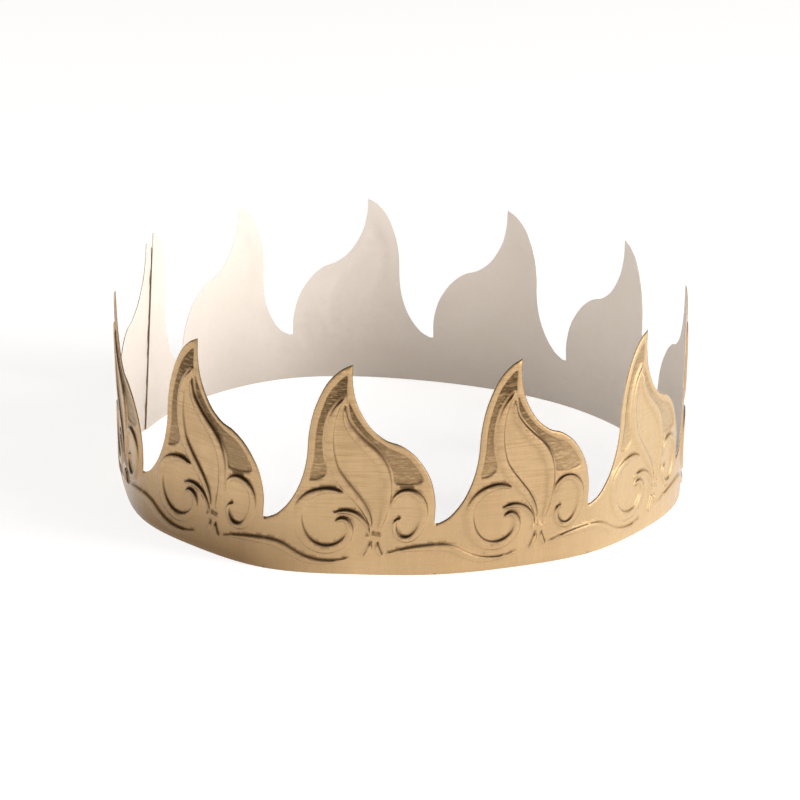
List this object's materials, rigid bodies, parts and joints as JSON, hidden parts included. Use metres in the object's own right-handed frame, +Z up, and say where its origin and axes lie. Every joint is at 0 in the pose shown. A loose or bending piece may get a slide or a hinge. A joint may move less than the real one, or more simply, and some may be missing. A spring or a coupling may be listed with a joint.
{
  "type": "paper crown",
  "caption": "Party crown of gold-faced card: one embossed strip cut into flame points and taped into a ring.",
  "frame": {"origin": "middle of the ring, at the lower edge of the card", "axes": "+Z up, -Y the front that shows two whole points, lapped ends at the back on the left (-X)"},
  "size_m": [0.1951, 0.1898, 0.0739],
  "materials": {
    "gold_card": "satin",
    "clear_tape": "matte"
  },
  "bodies": {
    "root": {"crown_strip": "gold_card", "seam_tape": "clear_tape"}
  },
  "joints": []
}
